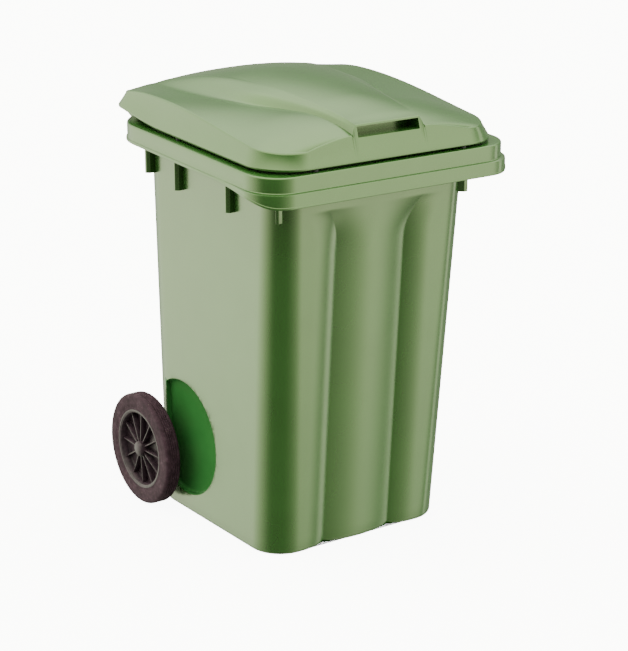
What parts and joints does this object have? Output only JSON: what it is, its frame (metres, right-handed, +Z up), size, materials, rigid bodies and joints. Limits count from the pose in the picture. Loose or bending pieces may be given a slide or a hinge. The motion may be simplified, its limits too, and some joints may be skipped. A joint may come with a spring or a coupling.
{
  "type": "two-wheeled refuse bin",
  "caption": "Wheeled refuse bin: a tapered moulded tub with a fluted front, a hinged domed lid with a grip slot, and two spoked wheels on an axle.",
  "frame": {"origin": "on the floor, below the middle of the whole bin's width and depth", "axes": "+X to the bin's side, across the mirror plane; -Y to the front; +Z up"},
  "size_m": [0.635, 0.683, 0.9689],
  "materials": {
    "green_plastic": "satin moulded polyethylene",
    "wheel_plastic": "satin moulded polypropylene",
    "black_plastic": "satin nylon",
    "tyre_rubber": "solid rubber, dusty",
    "buffer_rubber": "matt rubber",
    "zinc_steel": "zinc-plated steel"
  },
  "bodies": {
    "tub": {"body": "green_plastic", "axle": "zinc_steel", "hinge_pin_left": "zinc_steel", "hinge_cap_left": "black_plastic", "axle_bush_left": "black_plastic", "axle_washer_left": "zinc_steel", "wheel_lock_left": "zinc_steel", "hinge_pin_right": "zinc_steel", "hinge_cap_right": "black_plastic", "axle_bush_right": "black_plastic", "axle_washer_right": "zinc_steel", "wheel_lock_right": "zinc_steel"},
    "lid": {"lid": "green_plastic", "lid_buffers": "buffer_rubber"},
    "wheel_left": {"wheel_rim_left": "wheel_plastic", "hub_bush_left": "black_plastic", "tyre_left": "tyre_rubber", "hub_cap_left": "wheel_plastic"},
    "wheel_right": {"wheel_rim_right": "wheel_plastic", "hub_bush_right": "black_plastic", "tyre_right": "tyre_rubber", "hub_cap_right": "wheel_plastic"}
  },
  "joints": [
    {"name": "lid_hinge", "type": "hinge", "parent": "tub", "child": "lid", "pos_m": [0, 0.3135, 0.87828], "axis": [-1, 0, 0], "range_deg": [0, 245]},
    {"name": "wheel_left_spin", "type": "hinge", "parent": "tub", "child": "wheel_left", "pos_m": [-0.26, 0.2165, 0.125], "axis": [1, 0, 0], "continuous": true},
    {"name": "wheel_right_spin", "type": "hinge", "parent": "tub", "child": "wheel_right", "pos_m": [0.26, 0.2165, 0.125], "axis": [1, 0, 0], "continuous": true}
  ]
}
